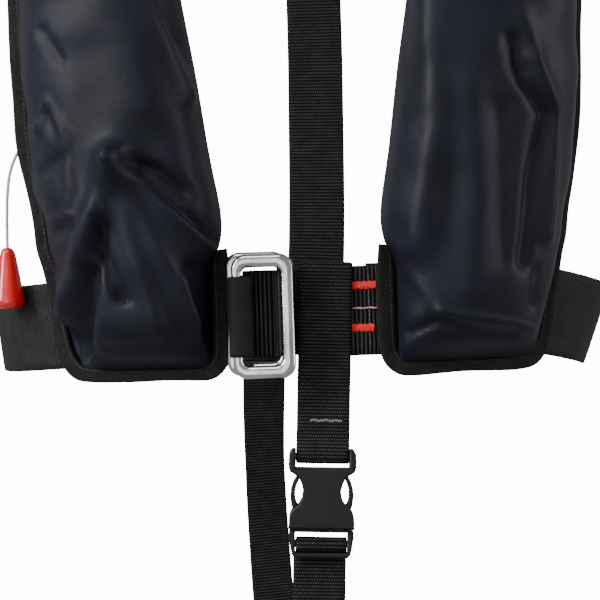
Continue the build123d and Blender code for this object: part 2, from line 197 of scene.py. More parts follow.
def webbing(name="webbing", rib=1.95, dot=1.4, ribbed=False, light=0.065, dark=0.0008, depth=0.00035):
    """Woven polyester: rows of staggered stitches across the strap, or plain ribs when ribbed, coloured with
    a painted highlight on each stitch and painted shade between them.
    """
    s = Shader(name, roughness=0.62, specular_ior_level=0.10)
    across, along = s.uv()
    row = s.math("FLOOR", s.math("DIVIDE", along, rib))
    shift = s.math("MULTIPLY", s.math("MODULO", s.math("ABSOLUTE", row), 2.0), dot / 2)
    hump = s.math("ABSOLUTE", s.math("SINE", s.math("MULTIPLY", along, pi / rib)))
    spot = s.math("ABSOLUTE", s.math("SINE", s.math("MULTIPLY", s.math("ADD", across, shift), pi / dot)))
    if ribbed:
        stitch = s.math("MULTIPLY", s.math("POWER", hump, 1.6), s.remap(spot, 0, 1, 0.8, 1))
    else:
        round_spot = s.remap(s.math("POWER", spot, 1.2), 0, 1, 0.35, 1)
        stitch = s.math("MULTIPLY", s.math("POWER", hump, 0.8), round_spot)
    # Painted light: stitch tops get the light colour as a painted highlight and the gaps get the dark one as
    # painted shade, made patchy by noise.
    patchy_wear_and_sheen = s.remap(s.noise(130, 4), 0.35, 0.7, 0.55, 1.0)
    stitch_highlight_and_shade = s.math("MULTIPLY", s.math("POWER", stitch, 2.6), patchy_wear_and_sheen)
    s.colour(s.mix(stitch_highlight_and_shade, (dark, dark, dark * 1.1), (light, light, light * 1.02)))
    s.rough(s.remap(stitch, 0, 1, 0.8, 0.5))
    return s.bump((stitch, depth), (s.noise(900, 2), 0.00004)).mat


def tape_cloth():
    """Ribbed binding tape with one row of stitching along its inner side."""
    s = Shader("tape_cloth", roughness=0.78, specular_ior_level=0.2)
    across, along = s.uv()
    rib = s.math("ABSOLUTE", s.math("SINE", s.math("MULTIPLY", along, pi / 0.75)))
    mottle = s.noise(300, 4)
    place_in_stitch = s.math("MODULO", s.math("ADD", along, 9000.0), 2.8)
    on_row = s.math("COMPARE", across, 2.2, 0.32)
    thread = s.math("MULTIPLY", on_row, s.math("COMPARE", place_in_stitch, 1.3, 1.0))
    base = s.mix(s.remap(mottle, 0.3, 0.75), (0.003, 0.0032, 0.003), (0.012, 0.0125, 0.0115))
    s.colour(s.mix(thread, base, (0.045, 0.045, 0.045)))
    return s.bump((s.noise(90, 4), 0.0009), (rib, 0.00012), (thread, 0.0003), (mottle, 0.0002)).mat


def steel_metal():
    """Polished stainless steel with faint scratches and a warm-grey reflection."""
    s = Shader("polished_steel", roughness=0.16, metallic=1.0)
    s.colour(s.mix(s.remap(s.noise(60, 4), 0.35, 0.7), (0.50, 0.49, 0.47), (0.74, 0.73, 0.71)))
    s.rough(s.remap(s.noise(240, 5, (1, 1, 0.12)), 0.3, 0.7, 0.10, 0.24))
    return s.bump((s.noise(500, 4, (1, 1, 0.1)), 0.00003), (s.noise(35, 2), 0.0004)).mat


def moulded(name, dark, light, roughness, grain=0.00006):
    """Injection-moulded plastic with a fine grain and slightly uneven gloss."""
    s = Shader(name, roughness=roughness, specular_ior_level=0.28)
    s.colour(s.mix(s.remap(s.noise(120, 4), 0.3, 0.7), dark, light))
    s.rough(s.remap(s.noise(80, 5), 0.3, 0.7, roughness - 0.05, roughness + 0.07))
    return s.bump((s.noise(25, 2), 0.0004), (s.noise(1400, 3), grain)).mat


def red_handle():
    s = Shader("red_handle", roughness=0.2, coat_weight=0.4, coat_roughness=0.08)
    s.colour(s.mix(s.remap(s.noise(50, 3), 0.3, 0.7), (0.60, 0.0035, 0.002), (0.72, 0.006, 0.003)))
    return s.bump((s.noise(60, 2), 0.0003), (s.noise(1200, 2), 0.00001)).mat


def braid():
    """White braided cord: two crossing sets of strands, with painted shade between them."""
    s = Shader("white_braid", roughness=0.6)
    split = s.nodes.new("ShaderNodeSeparateXYZ")
    s.links.new(s.object_position(), split.inputs[0])
    strand = 0.0012
    around = s.math("ADD", split.outputs[0], split.outputs[1])
    one = s.math("SINE", s.math("MULTIPLY", s.math("ADD", split.outputs[2], around), 2 * pi / strand))
    two = s.math("SINE", s.math("MULTIPLY", s.math("SUBTRACT", split.outputs[2], around), 2 * pi / strand))
    weave = s.math("MAXIMUM", one, two)
    # Painted shade: the colour darkens in the grooves between strands.
    s.colour(s.mix(s.remap(weave, -0.2, 1), (0.42, 0.42, 0.40), (0.80, 0.80, 0.77)))
    return s.bump((weave, 0.0002)).mat


def thread(name, dark, light):
    s = Shader(name, roughness=0.55)
    s.colour(s.mix(s.remap(s.noise(900, 3), 0.35, 0.65), dark, light))
    return s.bump((s.noise(2500, 2), 0.0001)).mat


def bladder_film():
    s = Shader("bladder_film", roughness=0.5)
    s.colour(s.mix(s.remap(s.noise(50, 4), 0.3, 0.7), (0.62, 0.36, 0.01), (0.75, 0.47, 0.02)))
    return s.bump((s.noise(45, 5), 0.002), (s.noise(900, 2), 0.00005)).mat


CLOTH, LINING, TAPE = cover_cloth(), lining_cloth(), tape_cloth()
WEBBING = webbing()
BACK_WEBBING = webbing("back_webbing", rib=2.3, dot=1.35, light=0.055)
BELT_WEBBING = webbing("belt_webbing", rib=1.6, dot=1.9, light=0.055, dark=0.0080, depth=0.0002)
RIBBED = webbing("ribbed_webbing", rib=2.3, dot=1.1, ribbed=True, light=0.070, dark=0.002, depth=0.0005)
PLAIN_WEBBING = webbing("flat_webbing", rib=0.9, dot=0.9, light=0.03, dark=0.008, depth=0.00012)
STEEL = steel_metal()
BLACK = moulded("black_moulding", (0.0025, 0.0025, 0.0028), (0.0045, 0.0045, 0.005), 0.34)
RED, CORD_BRAID = red_handle(), braid()
RED_THREAD = thread("red_thread", (0.50, 0.003, 0.003), (0.90, 0.010, 0.008))
PINK_THREAD = thread("pink_thread", (0.35, 0.10, 0.11), (0.75, 0.45, 0.45))
PALE_THREAD = thread("pale_thread", (0.30, 0.31, 0.29), (0.62, 0.64, 0.60))


# ---------------------------------------------------------------- mesh helpers
def piece(name, verts, faces, material, nodes=(), uvs=None, body=BODY):
    """A mesh from points in millimetres; uvs holds one (across, along) pair per point."""
    mesh = bpy.data.meshes.new(name)
    mesh.from_pydata([(x * MM, y * MM, z * MM) for x, y, z in verts], [], faces)
    mesh.validate()
    if uvs is not None:
        layer = mesh.uv_layers.new(name="strap")
        for loop in mesh.loops:
            u, v = uvs[loop.vertex_index]
            layer.data[loop.index].uv = (u * MM, v * MM)
    mesh.materials.append(material)
    mesh.polygons.foreach_set("use_smooth", [True] * len(mesh.polygons))
    obj = bpy.data.objects.new(name, mesh)
    bpy.context.scene.collection.objects.link(obj)
    if body:
        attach(obj, body)
    if nodes:
        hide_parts(*nodes)
    return obj


def catmull(rows, step):
    """Rows of numbers joined by a smooth curve; the first three are a position in mm."""
    rows = [np.array(r, float) for r in rows]
    ends = [2 * rows[0] - rows[1]] + rows + [2 * rows[-1] - rows[-2]]
    out = []
    for a, b, c, d in zip(ends, ends[1:], ends[2:], ends[3:]):
        count = max(1, int(round(np.linalg.norm((c - b)[:3]) / step)))
        for i in range(count):
            t = i / count
            out.append(0.5 * (2 * b + (c - a) * t + (2 * a - 5 * b + 4 * c - d) * t**2
                              + (3 * b - a - 3 * c + d) * t**3))
    out.append(rows[-1])
    return np.array(out)


def tube_faces(rows, ring, closed_ends=True, offset=0):
    """Faces of a tube whose points come row by row, with ring points in each row."""
    faces = []
    for i in range(rows - 1):
        for j in range(ring):
            k = (j + 1) % ring
            a, b = offset + i * ring, offset + (i + 1) * ring
            faces.append((a + j, a + k, b + k, b + j))
    if closed_ends:
        faces.append(tuple(offset + j for j in reversed(range(ring))))
        faces.append(tuple(offset + (rows - 1) * ring + j for j in range(ring)))
    return faces


def unit(v):
    return v / np.linalg.norm(v)


def strap(name, line, width, thick, material, nodes=(), across=None, body=BODY,
          step=2.0, cross=10):
    """Webbing along a line of (x, y, z) or (x, y, z, ax, ay, az), where a is its width direction."""
    rows = [tuple(p) + (tuple(across) if len(p) == 3 else ()) for p in line]
    rows = catmull(rows, step)
    verts, uvs = [], []
    along = 0.0
    edge = width / 2
    soft = min(thick * 0.45, 0.9)
    profile = [(-edge + (width * i / cross), thick / 2) for i in range(cross + 1)]
    profile[0] = (-edge + soft * 0.3, thick / 2 - soft * 0.3)
    profile[-1] = (edge - soft * 0.3, thick / 2 - soft * 0.3)
    profile = [(-edge, 0.0)] + profile + [(edge, 0.0)] + [(u, -v) for u, v in reversed(profile)]
    for i, r in enumerate(rows):
        p = r[:3]
        ahead = rows[min(i + 1, len(rows) - 1)][:3] - rows[max(i - 1, 0)][:3]
        if i:
            along += np.linalg.norm(p - rows[i - 1][:3])
        t = unit(ahead)
        w = unit(r[3:6] - t * np.dot(r[3:6], t))
        n = np.cross(t, w)
        for u, v in profile:
            verts.append(p + w * u + n * v)
            uvs.append((u + 100, along))
    faces = tube_faces(len(rows), len(profile))
    return piece(name, verts, faces, material, nodes, uvs, body)


def outline_solid(name, points, depth, place, nodes=(), body=BODY, bevel=0.8, holes=()):
    """A flat black moulding: an outline in x and z, its depth along y, and rounded edges."""
    curve = bpy.data.curves.new(name + ".outline", "CURVE")
    curve.dimensions = "2D"
    curve.fill_mode = "BOTH"
    for loop in (points, *holes):
        spline = curve.splines.new("POLY")
        spline.points.add(len(loop) - 1)
        for target, (x, z) in zip(spline.points, loop):
            target.co = (x * MM, z * MM, 0, 1)
        spline.use_cyclic_u = True
    curve.extrude = (depth / 2 - bevel) * MM
    curve.bevel_depth = bevel * MM
    curve.bevel_resolution = 3
    curve.offset = -bevel * MM
    holder = bpy.data.objects.new(name + ".holder", curve)
    bpy.context.scene.collection.objects.link(holder)
    mesh = bpy.data.meshes.new_from_object(holder)
    bpy.data.objects.remove(holder)
    turn = Matrix.Rotation(radians(90), 4, "X")
    mesh.transform(place @ turn)
    verts = [tuple(c / MM for c in v.co) for v in mesh.vertices]
    faces = [tuple(p.vertices) for p in mesh.polygons]
    obj = piece(name, verts, faces, BLACK, nodes, None, body)
    merge = obj.modifiers.new("weld", "WELD")
    merge.merge_threshold = 0.00002
    obj.modifiers.new("normals", "WEIGHTED_NORMAL")


# ---------------------------------------------------------------- the horseshoe
def section(back, radial, facing, tilt, width, depth):
    """One row of the horseshoe: the middle of its back, two directions, its width and its depth."""
    a = radians(tilt)
    radial, facing = np.array(radial, float), np.array(facing, float)
    u = radial * cos(a) - facing * sin(a)
    v = facing * cos(a) + radial * sin(a)
    return [*back, *u, *v, width, depth]


def collar_row(side, degrees):
    share = 1 - degrees / 90
    width, tilt = 84 + 13 * share, 35 - 15 * share
    a = radians(degrees)
    radial = (side * cos(a), sin(a), 0)
    radius = 69 + width / 2 * cos(radians(tilt))
    back = (radius * radial[0], radius * radial[1] - 69, -24.1 + 9.5 * share)
    return section(back, radial, (0, 0, 1), tilt, width, 30 + 8 * share)


def bend_row(side, degrees):
    a, share = radians(degrees), degrees / 90
    back = (side * (114.6 + 1.4 * share), -85 - 75 * sin(a), -14.6 - 75 * (1 - cos(a)))
    tilt = LOBE_TURN + 6 * (1 - share)
    return section(back, (side, 0, 0), (0, -sin(a), cos(a)), tilt, 97, 38 + 5 * share)


# Height, then x and y of the middle of the lobe's back, its width and its depth.
LOBE_ROWS = [
    (-150, 115, -158, 97, 44), (-190, 113, -157.5, 97, 45), (-215, 111, -157, 98, 45),
    (-258, 107, -155.5, 104, 45), (-301, 103, -154, 108, 44), (-335, 97, -153, 107, 44),
    (-352, 96.5, -152, 104, 44), (-366, 97.4, -151.4, 94, 43), (-384, 95.8, -151.8, 89.5, 41),
    (-400, 94.3, -152.2, 86.2, 36), (-412, 93.2, -152.5, 84, 24), (-419, 92.5, -152.7, 82.4, 11),
    (-423.5, 92.2, -152.8, 81.4, 2.2),
]


def lobe_row(side, row):
    z, x, y, width, depth = row
    return section((side * x, y, z), (side, 0, 0), (0, -1, 0), LOBE_TURN, width, depth)


def half(side):
    rows = [collar_row(side, d) for d in (90, 67.5, 45, 22.5)]
    rows += [bend_row(side, d) for d in (0, 30, 60, 90)]
    return rows + [lobe_row(side, row) for row in LOBE_ROWS]


def both_halves(cut=0):
    """Rows from the bottom of the left lobe, over the nape, to the bottom of the right one.

    cut is how many rows are left out at each end.
    """
    rows = half(LEFT)[::-1] + half(RIGHT)[1:]
    return rows[cut:len(rows) - cut]


# Creases on the lobes' fronts, laid out in whole millimetres. Each one has a height (hollows
# are negative), a half width, and the (x, z) points it runs through.
FOLD_STRENGTH = 0.95
PEAK = (-100, -305)         # the left lobe's creases fan out from here
LEFT_FOLDS = [
    (10, 10, [PEAK, (-101, -309)]),
    (7, 6, [PEAK, (-120, -350), (-135, -390)]),
    (6, 4, [PEAK, (-65, -340), (-47, -358)]),
    (4, 5, [PEAK, (-95, -345), (-80, -400)]),
    (3, 5, [(-97, -317), (-68, -378), (-60, -397)]),
    (-6, 4, [(-94, -307), (-76, -314), (-63, -326)]),
    (-7, 3, [(-90, -312), (-56, -345), (-47, -354)]),
    (-9, 3, [(-108, -340), (-111, -354), (-100, -382)]),
    (-13, 6, [(-119, -367), (-129, -407), (-127, -414)]),
    (3, 2, [(-146, -287), (-139, -271), (-129, -290), (-126, -320), (-129, -335)]),
    (-3, 4, [(-139, -278), (-136, -288)]),
    (-3, 3, [(-144, -309), (-131, -303)]),
    (-4, 3, [(-138, -343), (-128, -340)]),
    (2, 2, [(-139, -338), (-125, -336)]),
    (-5, 5, [(-74, -219), (-56, -260)]),
    (3, 6, [(-79, -219), (-60, -271)]),
    (-6, 5, [(-61, -367), (-55, -400)]),
    (4, 4, [(-66, -373), (-59, -404)]),
    (-3, 3, [(-130, -250), (-140, -233)]),
    (-2, 3, [(-112, -409), (-60, -410)]),
    (4, 18, [(-81, -274), (-91, -240)]),
]
RIGHT_FOLDS = [
    (-6, 4, [(118, -248), (124, -270), (138, -288), (128, -322), (122, -369)]),
    (5, 4, [(130, -258), (142, -286), (138, -330), (137, -355)]),
    (4, 8, [(72, -190), (75, -290), (62, -360)]),
    (-2, 9, [(83, -306), (80, -356)]),
    (3, 9, [(95, -274), (96, -334), (91, -383)]),
    (-3, 6, [(111, -285), (111, -368)]),
    (-4, 3, [(58, -406), (72, -400), (98, -406), (118, -408)]),
    (4, 3, [(75, -395), (128, -407)]),
    (-4, 4, [(131, -374), (129, -393)]),
    (3, 6, [(124, -236), (131, -253)]),
    (2, 5, [(58, -372), (75, -392)]),
]


def fold_height(x, z, folds):
    """How far each (x, z) point is lifted by the folds, in mm."""
    total = np.zeros_like(x)
    for height, reach, line in folds:
        nearest = np.full_like(x, 1e9)
        for (x0, z0), (x1, z1) in zip(line, line[1:]):
            dx, dz = x1 - x0, z1 - z0
            t = np.clip(((x - x0) * dx + (z - z0) * dz) / (dx * dx + dz * dz), 0, 1)
            nearest = np.minimum(nearest, np.hypot(x - x0 - t * dx, z - z0 - t * dz))
        total += FOLD_STRENGTH * height * np.exp(-(nearest / reach)**1.8)
    return total


def ripples(p, seed):
    """Shallow wrinkles all over, the same on every run."""
    rng = np.random.default_rng(seed)
    total = np.zeros(len(p))
    for _ in range(14):
        way = rng.normal(size=3) * np.array((1.0, 0.6, 0.55))
        way *= 2 * pi / rng.uniform(26, 75) / np.linalg.norm(way)
        total += np.sin(p @ way + rng.uniform(0, 2 * pi)) * rng.uniform(0.12, 0.34)
    return total


def stuffed(name, rows, nodes, inset, folds, materials, ring=76, step=2.1):
    """A stuffed tube with a flat back: its front is crowned and folded."""
    rows = catmull(rows, step)
    t = np.linspace(0, 1, ring)
    # more points near the feet of the section, where it turns fastest
    theta = pi * (t - 0.06 * np.sin(2 * pi * t))
    outer = np.cos(theta) < 0
    shape_u = -np.sign(np.cos(theta)) * np.abs(np.cos(theta)) ** np.where(outer, 1.0, 0.8)
    back_u = np.linspace(1, -1, 10)[1:-1]
    per = ring + len(back_u)
    verts = np.zeros((len(rows) * per, 3))
    for i, r in enumerate(rows):
        base, u, v, w, d = r[:3], unit(r[3:6]), unit(r[6:9]), r[9] / 2 - 2 * inset, r[10] - 3 * inset
        base = base + v * inset
        shape_v = np.abs(np.sin(theta)) ** np.where(outer, 0.85 + 0.6 * np.clip(-base[0] / 60, 0, 1), 0.6)
        front = base + np.outer(shape_u * w, u) + np.outer(shape_v * d, v)
        slope_u, slope_v = np.gradient(shape_u * w), np.gradient(shape_v * d)
        length = np.hypot(slope_u, slope_v)
        normal = np.outer(-slope_v / length, u) + np.outer(slope_u / length, v)
        hold = np.clip(np.minimum(t, 1 - t) / 0.10, 0, 1) ** 0.8
        squash = np.clip(r[10] / 34, 0, 1)
        lift = ripples(front, 4) * 0.9
        if folds:
            side = folds[0] if base[0] < 0 else folds[1]
            down = np.clip((-60 - base[2]) / 60, 0, 1)
            lift = lift + fold_height(front[:, 0], front[:, 2], side) * down
            puckers = np.sin(i * 0.9 + 2 * np.sin(i * 0.23)) * 0.35 * np.exp(-np.minimum(t, 1 - t) / 0.05)
            lift = lift + puckers
        front = front + normal * (lift * hold * squash)[:, None]
        verts[i * per:i * per + ring] = front
        verts[i * per + ring:(i + 1) * per] = base + np.outer(back_u * w, u)
    faces = tube_faces(len(rows), per)
    obj = piece(name, verts, faces, materials[0], nodes)
    obj.data.materials.append(materials[1])
    lining = np.array([0] * len(obj.data.polygons), dtype=np.int32)
    for poly in obj.data.polygons:
        if min(v % per for v in poly.vertices) >= ring - 1 and len(poly.vertices) == 4:
            lining[poly.index] = 1
    obj.data.polygons.foreach_set("material_index", lining)
    return obj


def build_lobes():
    covers = ("left_lobe_cover", "right_lobe_cover", "collar_cover")
    cover = stuffed("lobe_and_collar_cover", both_halves(), covers, 0.0, (LEFT_FOLDS, RIGHT_FOLDS),
                    (CLOTH, LINING))
    film = bladder_film()
    inner = stuffed("folded_bladder", both_halves(6), ("bladder",), 9.0, None, (film, film),
                    ring=30, step=8)


def build_lining():
    """The back panels: one run of cloth just behind the covers, slightly slack between its edges."""
    step, cross = 6, 16
    rows = catmull(both_halves(), step)
    verts, uvs = [], []
    for i, r in enumerate(rows):
        base, u, v, w = r[:3], unit(r[3:6]), unit(r[6:9]), r[9] / 2 - 0.6
        for j in range(cross + 1):
            s = 2 * j / cross - 1
            sag = 0.5 + 1.0 * (1 - s * s) + 0.4 * sin(i * 0.7 + 5 * s) * (1 - s * s)
            verts.append(base + u * (w * s) - v * sag)
            uvs.append((w * s, i * step))
    faces = []
    for i in range(len(rows) - 1):
        for j in range(cross):
            a = i * (cross + 1) + j
            faces.append((a, a + cross + 1, a + cross + 2, a + 1))
    obj = piece("back_panel_lining", verts, faces, LINING,
                ("left_lobe_lining", "right_lobe_lining", "collar_lining"), uvs)
    thick = obj.modifiers.new("cloth", "SOLIDIFY")
    thick.thickness = 0.0004


def binding_line():
    """Middle of the bound edge: (point, outward, front normal, half width)."""
    def hem_point(side, x, z, out, half_width):
        a = radians(LOBE_TURN)
        y = -152 + (x - 95) * math.tan(a) - 1.3
        u = np.array((side * cos(a), sin(a), 0))
        outward = u * out[0] + np.array((0, 0, 1)) * out[1]
        return [side * x, y, z, *outward, -side * sin(a), -cos(a), 0, half_width]

    def side_rows(side):
        rows = [
            (46.2, -356, (-1, 0.1), 3.6), (47, -363, (-1, 0), 4.8), (47, -375, (-1, 0), 5),
            (47, -395, (-1, 0), 5), (47.2, -410, (-1, 0), 5), (48.5, -418.5, (-0.92, -0.35), 5),
            (53.5, -424, (-0.5, -0.87), 4.9), (61, -425.3, (0, -1), 4.8), (80, -425.4, (0, -1), 4.8),
            (105, -425.4, (0, -1), 4.8), (124, -425.2, (0, -1), 4.8), (132.5, -422.5, (0.55, -0.83), 4.8),
            (138, -414, (0.9, -0.4), 4.4), (140.8, -402, (0.985, -0.17), 4),
            (143.2, -385, (0.985, -0.17), 3.6),
        ]
        rows = [hem_point(side, *row) for row in rows]
        for r in [lobe_row(side, row) for row in LOBE_ROWS[7:0:-1] if row[0] > -380]:
            rows.append(edge_of(r))
        return rows

    def edge_of(r):
        u, v = np.array(r[3:6]), np.array(r[6:9])
        return [*(np.array(r[:3]) + u * (r[9] / 2 + 2.6) + v * 1.3), *u, *v, 4.4]

    left, right = side_rows(LEFT), side_rows(RIGHT)
    over = [edge_of(r) for r in half(LEFT)[:9][::-1]] + [edge_of(r) for r in half(RIGHT)[1:9]]
    return left + over + right[::-1]


def build_binding():
    rows = catmull(binding_line(), 1.6)
    profile = [(-1, 0.55), (-0.85, 1.15), (-0.4, 1.3), (0.2, 1.35), (0.7, 1.3), (0.95, 0.9), (1.03, 0.0),
               (0.95, -0.9), (0.7, -1.25), (0, -1.3), (-0.85, -1.15), (-1, -0.55)]
    verts, uvs, along = [], [], 0.0
    for i, r in enumerate(rows):
        if i:
            along += float(np.linalg.norm(r[:3] - rows[i - 1][:3]))
        out, front, half_width = unit(r[3:6]), unit(r[6:9]), r[9]
        wander = 0.5 * sin(along / 23) + 0.35 * sin(along / 9.1 + 1)
        curl = 0.5 * sin(along / 17 + 2) + 0.25 * sin(along / 6.3)
        for u, v in profile:
            swell = 1 + 0.1 * sin(along / 11)
            sideways = u * half_width + wander * (0.4 + 0.6 * u)
            verts.append(r[:3] + out * sideways + front * (v * swell + curl * u))
            uvs.append(((u + 1) * half_width, along))
    bindings = ("left_edge_binding", "right_edge_binding", "collar_binding",
                "left_hem_binding", "right_hem_binding")
    faces = tube_faces(len(rows), len(profile))
    piece("edge_binding_tape", verts, faces, TAPE, bindings, uvs)


# ---------------------------------------------------------------- belt, rings and back strap
def build_belt():
    def at(x, y, z, lean):
        """lean is how far the belt's top edge stands out from upright, in degrees."""
        way = unit(np.array((x, (y + 62) * 1.4, 0.0)))
        a = radians(lean)
        return (x, y, z, way[0] * sin(a), way[1] * sin(a), cos(a))

    route = [
        at(-4, -162, -393, 0), at(20, -162, -393, 0), at(45, -160, -393, 0), at(80, -151.5, -393, 1),
        at(115, -142, -394, 3), at(142, -131, -397, 9), at(168, -108, -403, 16), at(181, -75, -407, 20),
        at(178, -38, -405, 15), at(160, -3, -399, 8), at(132, 24, -395, 2), at(103, 34.8, -393, 0),
        at(80, 36, -393, 0), at(40, 36, -393, 0), at(0, 36, -393, 0), at(-40, 36, -393, 0),
        at(-80, 36, -393, 0), at(-106, 34.8, -393, 0), at(-134, 24, -394, 2), at(-164, -3, -396, 5),
        at(-184, -38, -398, 7),
        at(-189, -72, -398.5, 7), at(-178, -103, -398.5, 5), at(-150, -130, -397, 3), at(-115, -142, -395, 1),
        at(-80, -151.5, -393.5, 0), at(-46.3, -160.6, -393, 0),
    ]
    strap("waist_belt_webbing", route, 51, 2.0, BELT_WEBBING, ("waist_belt",), step=3.0, cross=12)
    ribs = [(24, -163.25, -393), (34, -162.95, -393), (44, -161.75, -393)]
    strap("belt_ribbed_stretch", ribs, 50.6, 1.0, RIBBED, across=(0, 0, 1), step=1.5)
    tail = [(30, 38.3, -393), (60, 38.3, -393), (90, 38.3, -393), (112, 38.6, -393.4)]
    strap("belt_free_tail", tail, 48, 1.8, BELT_WEBBING, ("belt_tail",), across=(0, 0, 1), step=3)
    for side, word in ((LEFT, "left"), (RIGHT, "right")):
        a = radians(LOBE_TURN)
        u, back = np.array((side * cos(a), sin(a), 0)), np.array((side * sin(a), cos(a), 0))
        middle = np.array((side * 95, -152, -395.0)) - u * 6
        around = [(29, 0.6), (27, 3.4), (22, 5.9), (8, 6.6)]
        around = [(-s, b) for s, b in around] + around[::-1]
        line = [tuple(middle + u * s + back * b) for s, b in around]
        strap(f"{word}_belt_keeper", line, 58, 1.2, PLAIN_WEBBING, (f"{word}_belt_sleeve",),
              across=(0, 0, 1), step=1.5)


def ring_points(width, height, corner):
    """A rounded rectangle in x and z, always with the same number of points."""
    points = []
    steps = 12      # along each corner, and along each straight
    w, h = width / 2 - corner, height / 2 - corner
    for cx, cz, start, along, way in ((w, h, 0, w, (-1, 0)), (-w, h, 90, h, (0, -1)),
                                      (-w, -h, 180, w, (1, 0)), (w, -h, 270, h, (0, 1))):
        for k in range(steps + 1):
            a = radians(start + 90 * k / steps)
            points.append((cx + corner * cos(a), cz + corner * sin(a)))
        x, z = points[-1]
        for i in range(1, steps):
            gone = 2 * along * i / steps
            points.append((x + way[0] * gone, z + way[1] * gone))
    return points


def build_ring(name, node, centre, body, slim):
    """A forged harness ring; its slim bar on one side is hidden under the webbing."""
    outside, inside = ring_points(34.8, 69.6, 8), ring_points(22, 54.8, 4)
    half_depth, roundness = 2.65, 0.95      # roundness 1 would make the bar's section an ellipse
    verts, ring = [], 24
    for (ox, oz), (ix, iz) in zip(outside, inside):
        ix += slim
        middle = np.array(((ox + ix) / 2, 0, (oz + iz) / 2))
        half_bar = np.array(((ox - ix) / 2, 0, (oz - iz) / 2))
        for j in range(ring):
            a = 2 * pi * j / ring
            across = np.sign(cos(a)) * abs(cos(a)) ** roundness
            depth = half_depth * np.sign(sin(a)) * abs(sin(a)) ** roundness
            verts.append(middle + half_bar * across + np.array((centre[0], centre[1] + depth, centre[2])))
    count = len(outside)
    faces = tube_faces(count, ring, closed_ends=False)
    last = (count - 1) * ring
    faces += [(last + j, last + (j + 1) % ring, (j + 1) % ring, j) for j in range(ring)]
    piece(name, verts, faces, STEEL, (node,), body=body)


def wrap(name, points, height, z, thick, material, nodes=()):
    """Webbing on edge, following given points in plan."""
    line = [(x, y, z) for x, y in points]
    strap(name, line, height, thick, material, nodes, across=(0, 0, 1), step=0.8, cross=14)


def build_harness():
    build_ring("front_harness_ring", "front_ring", (-22.6, -178.2, -394.5), "front_ring", LEFT)
    build_ring("rear_harness_ring", "rear_ring", (-26.4, -170.9, -393), BODY, RIGHT)
    left = [(-46, -162.6), (-42, -164), (-38.6, -167), (-36.6, -171), (-36.9, -174), (-39.4, -175.1),
            (-41.3, -177.3), (-40.9, -180.4), (-38.3, -182.1), (-34, -182.2), (-30.6, -181), (-29.4, -178.2),
            (-30.2, -173.6), (-32.4, -168), (-35, -163.4), (-39, -161.2), (-46, -161)]
    wrap("left_ring_loop_webbing", left, 45, -394.5, 1.3, PLAIN_WEBBING, ("left_ring_loop",))
    right = [(-4, -162.8), (-9, -163.4), (-13.4, -166), (-15.6, -169), (-15.3, -172.8), (-12.6, -175),
             (-9.3, -174.2), (-7.7, -171.4), (-8.2, -167.4), (-7, -164.9), (-4, -163.6)]
    wrap("right_ring_loop_webbing", right, 48, -393, 1.3, WEBBING, ("right_ring_loop",))
    window = [(-34, -166.2), (-27, -168.2), (-20, -168.6), (-14.5, -167.4), (-9, -165.4)]
    wrap("ring_window_webbing", window, 49, -393, 1.7, RIBBED)
    back = [(12, 38, -29.5), (12.3, 50, -38), (12.6, 60.5, -47), (13, 66.5, -62), (13.4, 69.4, -85),
            (14, 67.8, -130), (14.2, 65.6, -165), (14, 59.5, -215), (13, 52.3, -268), (12, 45, -312),
            (10.8, 40, -345), (9.8, 39.2, -366), (9.6, 39, -393), (9.6, 39, -418)]
    strap("back_strap_webbing", back, 38.6, 2.0, BACK_WEBBING, ("back_strap",), across=(1, 0, 0))
    fold = [(39, -418), (38.2, -421), (36, -422), (33.9, -421), (33.2, -417), (33.2, -393),
            (33.2, -369), (33.9, -365), (36, -364.2), (38.3, -366)]
    strap("back_strap_belt_loop", [(9.4, *p) for p in fold], 37.6, 1.2, BACK_WEBBING,
          across=(1, 0, 0), step=1)
    nape = collar_row(RIGHT, 90)
    base, u, v = np.array(nape[:3]), np.array(nape[3:6]), np.array(nape[6:9])
    around = [(46, 2.2), (52, 5.5), (60, 6.6), (70, 6.1), (76, 3.4), (77, 0.9), (74.5, -1.8), (68, -4),
              (60, -4.2), (52, -3.2), (46, 0.5)]
    hang = [tuple(base + u * a + v * b) for a, b in around]
    strap("hanging_loop_tape", hang, 12, 1.4, PLAIN_WEBBING, ("hang_loop",), across=(1, 0, 0), step=1.2)


# ---------------------------------------------------------------- crotch strap and buckle
LEAN = Matrix.Translation((0.012, -0.1644, -0.393)) @ Matrix.Rotation(STRAP_LEAN, 4, "Y")
BUCKLE_DROP = 78.5          # from the middle of the belt down to the buckle's own origin
IN_BUCKLE = LEAN @ Matrix.Translation((0, 0, -BUCKLE_DROP * MM))
STRAP_ACROSS = (cos(STRAP_LEAN), 0, -sin(STRAP_LEAN))


def leant(x, y, z, drop=0.0):
    """A point of the leaning front strap, in mm of the model's frame."""
    p = LEAN @ Vector((x * MM, y * MM, (z - drop) * MM))
    return (p.x / MM, p.y / MM, p.z / MM)


def build_crotch_front():
    # in the strap's own y and z: round the buckle's bar, up the front, over the belt and down behind
    front = [(2.0, -71.5), (2.8, -77), (2.9, -81), (2.4, -84), (0, -85.2), (-2.4, -84), (-2.9, -81),
             (-2.4, -77), (-1.4, -72), (-1.0, -66), (-0.9, -50), (-1.0, -30), (-1.2, -12), (-1.2, 6),
             (-1.0, 18), (0.2, 25.6), (2.6, 27.6), (5.0, 26.4), (5.8, 22), (5.8, 0),
             (5.7, -20), (4.2, -28), (1.6, -33), (0.9, -42), (0.9, -60), (0.9, -69.5)]
    line = [leant(0, y, z) for y, z in front]
    strap("crotch_strap_front", line, 30, 1.7, WEBBING, ("crotch_front_strap",), across=STRAP_ACROSS,
          step=1.2, cross=12)


